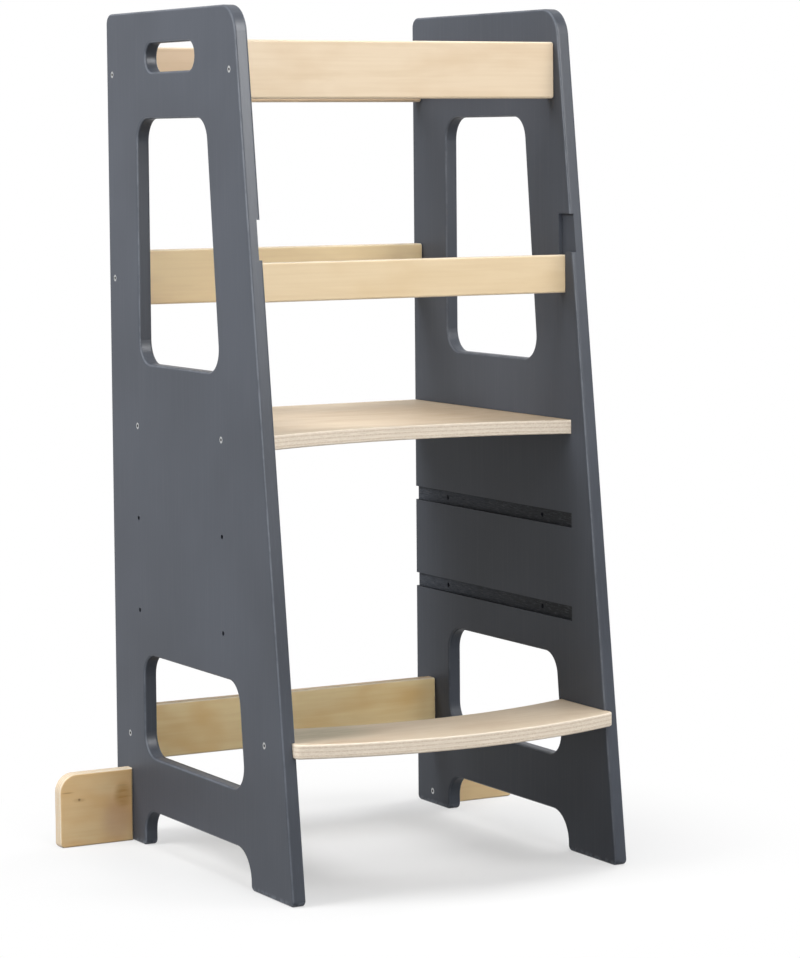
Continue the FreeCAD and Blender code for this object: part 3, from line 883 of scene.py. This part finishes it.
# -------------------- sub-assemblies
@dataclass
class Assembly:
    """Some of the stool's solids, dressed in their finishes.

    Attributes:
        title: Name for the log.
    """

    title: str = "assembly"

    def finishes(self) -> dict[str, Any]:
        """Finish of each solid, by the solid's name."""
        return {}

    def dress(self, nodes: dict[str, bpy.types.Object]) -> None:
        """Gives each solid its material.

        Args:
            nodes: The stool's solids by name.
        """
        built: dict[str, bpy.types.Material] = {}
        for name, finish in self.finishes().items():
            if finish.name not in built:
                built[finish.name] = finish.material()
            for slot in nodes[name].material_slots:
                slot.material = built[finish.name]
            LOG.info("%s: %s in %s", self.title, name, finish.name)


@dataclass
class SidePanels(Assembly):
    """The two painted side panels.

    Attributes:
        paint: The paint of both.
    """

    title: str = "side panels"
    paint: PaintFinish = field(default_factory=PaintFinish)

    def finishes(self) -> dict[str, Any]:
        """Both panels in the same paint."""
        return {"side_panel_left": self.paint, "side_panel_right": self.paint}


@dataclass
class Rails(Assembly):
    """The four fixed rails between the panels.

    Attributes:
        thickness: Thickness of a rail.
    """

    title: str = "rails"
    thickness: float = 0.015

    def rail(self, name: str, seed: float, **changes: Any) -> PlywoodFinish:
        """Plywood finish of one rail, placed by the rail's own box.

        Args:
            name: The rail's name.
            seed: Moves its grain.
            changes: Other fields of the finish.

        Returns:
            The finish.
        """
        low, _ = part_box(name)
        return PlywoodFinish(name + "_birch", Axis.DEPTH, low.y, self.thickness, seed=seed,
                             **changes)

    def finishes(self) -> dict[str, Any]:
        """Pale rails at top, yellower ones lower down; top back rail darker as painted shade.

        Returns:
            The finish of each rail, by the rail's name.
        """
        return {
            "top_front_rail": self.rail("top_front_rail", 0.0),
            # painted shade: the top back rail is a darker copy of the birch
            "top_back_rail": self.rail(
                "top_back_rail", 3.1,
                pale=from_screen(226, 198, 164), dark=from_screen(206, 175, 138)),
            "middle_back_rail": self.rail(
                "middle_back_rail", 5.7,
                pale=from_screen(250, 226, 180), dark=from_screen(232, 202, 158)),
            "lower_back_rail": self.rail(
                "lower_back_rail", 8.3,
                pale=from_screen(252, 227, 174), dark=from_screen(228, 190, 126),
                stain=from_screen(236, 194, 126), stain_share=0.7),
        }


@dataclass
class SafetyBar(Assembly):
    """The loose bar that is lifted out of its grooves.

    Attributes:
        thickness: Thickness of the bar.
    """

    title: str = "safety bar"
    thickness: float = 0.012

    def finishes(self) -> dict[str, Any]:
        """One slightly yellower birch, with fewer plies.

        Returns:
            The bar's finish, by its name.
        """
        low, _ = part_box("safety_bar")
        birch = PlywoodFinish("safety_bar_birch", Axis.DEPTH, low.y, self.thickness, plies=5,
                              pale=from_screen(238, 214, 175), dark=from_screen(220, 190, 144),
                              stain=from_screen(227, 198, 152), seed=11.9)
        return {"safety_bar": birch}


@dataclass
class Boards(Assembly):
    """The standing platform and the lower step.

    Attributes:
        thickness: Thickness of both boards.
    """

    title: str = "boards"
    thickness: float = 0.015

    def board(self, name: str, seed: float, marks_and_shade: tuple[MarkOrShadePatch, ...]) -> PlywoodFinish:
        """Matt, greyer plywood finish of one board, darker than the rails as painted shade.

        Args:
            name: The board's name.
            seed: Moves its grain.
            marks_and_shade: Its marks and painted shade.

        Returns:
            The finish.
        """
        low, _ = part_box(name)
        return PlywoodFinish(name + "_birch", Axis.UP, low.z, self.thickness,
                             pale=from_screen(213, 196, 173), dark=from_screen(190, 170, 145),
                             stain=from_screen(198, 176, 150), stain_share=0.5,
                             ply_pale=from_screen(240, 227, 209),
                             ply_dark=from_screen(231, 216, 196),
                             glue=from_screen(250, 240, 226), glue_share=0.5,
                             roughness=0.56, seed=seed, marks_and_shade=marks_and_shade)

    def finishes(self) -> dict[str, Any]:
        """Each board with its own grain and marks, and with patches of painted shade.

        Returns:
            The finish of each board, by the board's name.
        """
        brown = from_screen(150, 104, 74)
        platform_shade = from_screen(160, 140, 115)
        step_back_shade = from_screen(160, 154, 130)
        step_front_shade = from_screen(186, 160, 132)
        return {
            "standing_platform": self.board("standing_platform", 14.2, (
                # painted shade: the platform's top darker towards the right panel
                MarkOrShadePatch((0.150, 0.000, 0.4645), (0.200, 0.260, 0.030), platform_shade, 0.75),
            )),
            "lower_step": self.board("lower_step", 17.9, (
                MarkOrShadePatch((-0.1440, -0.1985, 0.1620), (0.020, 0.0035, 0.006), brown, 0.8, 0.9),
                # painted shade, tinted green as a painted reflection: the step's back left, near
                # the low rail
                MarkOrShadePatch((-0.1400, -0.1450, 0.1620), (0.090, 0.055, 0.010), step_back_shade, 0.75),
                # painted shade: the step's front left a little darker and warmer
                MarkOrShadePatch((-0.1487, -0.2123, 0.1620), (0.075, 0.040, 0.010), step_front_shade, 0.60),
            )),
        }


@dataclass
class Stabilisers(Assembly):
    """The two upright boards beside the rear feet.

    Attributes:
        thickness: Thickness of a board.
    """

    title: str = "stabilisers"
    thickness: float = 0.015

    def finishes(self) -> dict[str, Any]:
        """Browner birch with a knot and a streak, and a painted shadow line at the panel's foot.

        Returns:
            The finish of each stabiliser, by its name.
        """
        low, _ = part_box("stabiliser_left")
        front = low.y
        knot = from_screen(120, 74, 40)
        halo = from_screen(184, 132, 82)
        brown = from_screen(192, 138, 68)
        pink = from_screen(206, 164, 136)
        contact_shadow = from_screen(30, 28, 26)
        birch = PlywoodFinish(
            "stabiliser_birch", Axis.DEPTH, front, self.thickness,
            pale=from_screen(244, 214, 164), dark=from_screen(226, 184, 128),
            stain=from_screen(232, 186, 124), stain_share=0.7,
            ply_pale=from_screen(236, 224, 204), ply_dark=from_screen(222, 207, 184),
            seed=21.4,
            marks_and_shade=(
                MarkOrShadePatch((-0.2160, front, 0.0250), (0.026, 0.006, 0.034), pink, 0.50, 0.1),
                MarkOrShadePatch((-0.2090, front, 0.0520), (0.014, 0.006, 0.018), brown, 0.75, 0.3),
                MarkOrShadePatch((-0.2105, front, 0.0625), (0.009, 0.006, 0.0012), knot, 0.25, 0.5),
                MarkOrShadePatch((-0.2608, front, 0.0508), (0.010, 0.006, 0.0030), halo, 0.35, 0.5),
                MarkOrShadePatch((-0.2608, front, 0.0513), (0.0022, 0.006, 0.0020), knot, 0.75),
                MarkOrShadePatch((-0.2745, front, 0.0600), (0.010, 0.006, 0.0011), halo, 0.60),
                # painted shadow: a dark line where the board meets the panel
                MarkOrShadePatch((-0.1965, front, 0.0400), (0.0030, 0.014, 0.090), contact_shadow, 0.95, 0.0),
            ))
        return {"stabiliser_left": birch, "stabiliser_right": birch}


@dataclass
class Fasteners(Assembly):
    """The connector screws and the dowels.

    Attributes:
        zinc: Finish of the screws.
        beech: Finish of the dowels.
        screws: Names of the sets of screws.
        dowels: Names of the sets of dowels.
    """

    title: str = "fasteners"
    zinc: ZincFinish = field(default_factory=ZincFinish)
    beech: DowelFinish = field(default_factory=DowelFinish)
    screws: tuple[str, ...] = ("rail_screws", "platform_screws", "step_screws",
                               "stabiliser_screws")
    dowels: tuple[str, ...] = ("top_front_rail_dowels", "top_back_rail_dowels",
                               "middle_back_rail_dowels", "lower_back_rail_dowels")

    def finishes(self) -> dict[str, Any]:
        """Zinc on every screw, beech on every dowel."""
        return {**dict.fromkeys(self.screws, self.zinc), **dict.fromkeys(self.dowels, self.beech)}


# -------------------- studio
@dataclass(frozen=True)
class Lamp:
    """A soft rectangular lamp.

    Attributes:
        name: The lamp's name.
        place: Where it stands.
        target: What it points at.
        width: Its width.
        watts: Its power.
        height: Its height.
        gloss_only: Whether it shows only as a sheen on glossy surfaces.
    """

    name: str
    place: Point
    target: Point
    width: float
    watts: float
    height: float = 1.4
    gloss_only: bool = False

    def build(self) -> None:
        """Adds the lamp, turned so that its light leaves towards the target."""
        data = bpy.data.lights.new(self.name, "AREA")
        data.shape = "RECTANGLE"
        data.size = self.width
        data.size_y = self.height
        data.energy = self.watts
        lamp = bpy.data.objects.new(self.name, data)
        bpy.context.scene.collection.objects.link(lamp)
        way = Vector(self.target) - Vector(self.place)
        lamp.rotation_euler = way.to_track_quat("-Z", "Y").to_euler()
        lamp.location = self.place
        lamp.visible_camera = False
        lamp.visible_diffuse = not self.gloss_only


@dataclass(frozen=True)
class Viewpoint:
    """The camera.

    Attributes:
        place: Where it stands.
        yaw: Turn from the rear direction towards the right, in degrees.
        pitch: Tilt downwards in degrees.
        roll: Turn about its own axis in degrees.
        lens: Focal length in millimetres.
        sensor: Longer side of the picture plane in millimetres.
        shift: Shift of the frame, as shares of its longer side.
        far: Greatest distance that it sees.
    """

    place: Point = (-1.68966, -3.16257, 0.76314)
    yaw: float = 29.324
    pitch: float = 4.4349
    roll: float = -0.422
    lens: float = 126.951
    sensor: float = 36.0
    shift: tuple[float, float] = (-0.0410, -0.0818)
    far: float = 100.0

    def axes(self) -> Matrix:
        """Camera axes as a turned frame.

        The forward direction comes from the yaw and the pitch, the right-hand one lies
        level, and both side directions then turn by the roll about the forward one.

        Returns:
            A matrix with the camera's right, up and backward directions as columns.
        """
        yaw, pitch, roll = (math.radians(angle) for angle in (self.yaw, self.pitch, self.roll))
        forward = Vector((math.sin(yaw) * math.cos(pitch), math.cos(yaw) * math.cos(pitch),
                          -math.sin(pitch)))
        level = Vector((math.cos(yaw), -math.sin(yaw), 0.0))
        upward = level.cross(forward)
        right = level * math.cos(roll) + upward * math.sin(roll)
        up = upward * math.cos(roll) - level * math.sin(roll)
        return Matrix((right, up, -forward)).transposed()

    def build(self) -> None:
        """Adds the camera and makes it the scene's."""
        data = bpy.data.cameras.new("camera")
        data.lens = self.lens
        data.sensor_width = self.sensor
        data.shift_x, data.shift_y = self.shift
        data.clip_end = self.far
        camera = bpy.data.objects.new("camera", data)
        bpy.context.scene.collection.objects.link(camera)
        camera.matrix_world = Matrix.Translation(self.place) @ self.axes().to_4x4()
        bpy.context.scene.camera = camera


@dataclass
class Studio:
    """Floor, world, lamps and camera.

    Attributes:
        floor_size: Side of the floor.
        floor_grey: Linear grey of the floor near the stool.
        mottle: Faint clouds in that grey.
        mottle_tone: Factor on the grey where a cloud is full.
        floor_bounce: Linear grey of the floor for light that it throws back at the stool.
        paper_white: Share of plain white in the floor's own look beside the stool.
        fade_from: Metres from the stool's middle at which the floor starts to whiten.
        fade_to: Metres at which it is white.
        ambient: Strength of the even light from all around.
        sky: Colour of that light.
        lamps: The lamps.
        view: The camera.
    """

    floor_size: float = 30.0
    floor_grey: float = 0.77
    mottle: Pattern = Pattern(alike(3.0), share=0.3)
    mottle_tone: float = 0.985
    floor_bounce: float = 0.22
    paper_white: float = 0.40
    fade_from: float = 0.15
    fade_to: float = 0.52
    ambient: float = 0.16
    sky: Colour = (0.97, 0.985, 1.0)
    lamps: tuple[Lamp, ...] = (
        Lamp("front_lamp", (-0.3, -2.0, 2.7), (0.0, 0.0, 0.6), 1.2, 26.0, 1.2),
        Lamp("low_lamp", (0.0, -2.4, 0.8), (0.0, 0.0, 0.3), 1.2, 18.0, 1.0),
        Lamp("right_lamp", (1.8, -1.5, 1.8), (0.0, 0.0, 0.6), 1.4, 20.0),
        Lamp("top_lamp", (0.0, 0.0, 2.4), (0.0, 0.0, 0.5), 1.2, 12.0, 1.2),
        Lamp("left_lamp", (-2.2, 0.3, 1.8), (0.0, 0.0, 0.8), 1.4, 68.0),
        Lamp("rear_right_lamp", (2.2, 0.8, 1.8), (0.0, 0.0, 0.7), 1.4, 40.0),
        Lamp("front_sheen", (0.40, -1.42, 1.55), (-0.19, -0.10, 0.80), 0.5, 110.0, 1.1, True),
        Lamp("left_sheen", (-1.35, -0.95, 1.00), (-0.10, -0.12, 0.60), 0.4, 50.0, 1.4, True),
    )
    view: Viewpoint = field(default_factory=Viewpoint)

    def seen_directly(self, shader: Shader) -> Socket:
        """Tells the rays that should see plain white.

        Args:
            shader: The floor's or the world's shader.

        Returns:
            1 for rays from the camera, from mirrors and through glass, else 0.
        """
        path = shader.node("ShaderNodeLightPath")
        return path["Is Camera Ray"].at_least(path["Is Glossy Ray"]).at_least(
            path["Is Transmission Ray"])

    def floor_material(self) -> bpy.types.Material:
        """Pale matt floor that fades into white away from the stool.

        Returns:
            The material.
        """
        material = bpy.data.materials.new("floor_paper")
        shader = Shader(material)
        vector, place = shader.place()
        flat = shader.node("ShaderNodeCombineXYZ", inputs={"X": place[0], "Y": place[1]})
        fade = shader.length(flat["Vector"]).rise(self.fade_from, self.fade_to)
        seen = self.seen_directly(shader)
        share = (fade * (1.0 - self.paper_white) + self.paper_white) * seen
        mottle = self.mottle.noise(shader, vector) * self.mottle.share
        colour = shader.blend(mottle, alike(self.floor_grey),
                              alike(self.floor_grey * self.mottle_tone))
        colour = shader.blend(seen, alike(self.floor_bounce), colour)
        matt = {"Base Color": colour, "Roughness": 1.0, "Specular IOR Level": 0.0}
        paper = shader.node("ShaderNodeBsdfPrincipled", inputs=matt)["BSDF"]
        glow = {"Color": rgba(WHITE), "Strength": 1.0}
        white = shader.node("ShaderNodeEmission", inputs=glow)["Emission"]
        shader.node("ShaderNodeOutputMaterial",
                    inputs={"Surface": shader.mixed(share, paper, white)})
        return material

    def build_floor(self) -> None:
        """Adds the floor as one level square under the stool's feet."""
        half = self.floor_size / 2.0
        corners = [(-half, -half, 0.0), (half, -half, 0.0), (half, half, 0.0), (-half, half, 0.0)]
        mesh = bpy.data.meshes.new("studio_floor")
        mesh.from_pydata(corners, [], [(0, 1, 2, 3)])
        floor = bpy.data.objects.new("studio_floor", mesh)
        bpy.context.scene.collection.objects.link(floor)
        mesh.materials.append(self.floor_material())

    def build_world(self) -> None:
        """Adds white surroundings that light the stool more softly than they look."""
        world = bpy.data.worlds.new("studio_world")
        bpy.context.scene.world = world
        shader = Shader(world)
        share = self.seen_directly(shader)
        lit, white = (
            shader.node("ShaderNodeBackground",
                        inputs={"Color": rgba(colour), "Strength": strength})["Background"]
            for colour, strength in ((self.sky, self.ambient), (WHITE, 1.0)))
        shader.node("ShaderNodeOutputWorld", inputs={"Surface": shader.mixed(share, lit, white)})

    def build(self) -> None:
        """Builds the floor, the world, the lamps and the camera."""
        self.build_floor()
        self.build_world()
        for lamp in self.lamps:
            lamp.build()
        self.view.build()
        bpy.context.scene.view_settings.view_transform = "Standard"
        LOG.info("studio: floor, world, %d lamps and camera", len(self.lamps))


def main() -> None:
    """Dresses every sub-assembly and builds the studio."""
    logging.basicConfig(level=logging.INFO, format="%(name)s: %(message)s")
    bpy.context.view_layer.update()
    for assembly in (SidePanels(), Rails(), SafetyBar(), Boards(), Stabilisers(), Fasteners()):
        assembly.dress(frame["nodes"])
    Studio().build()


if __name__ == "__main__":
    main()
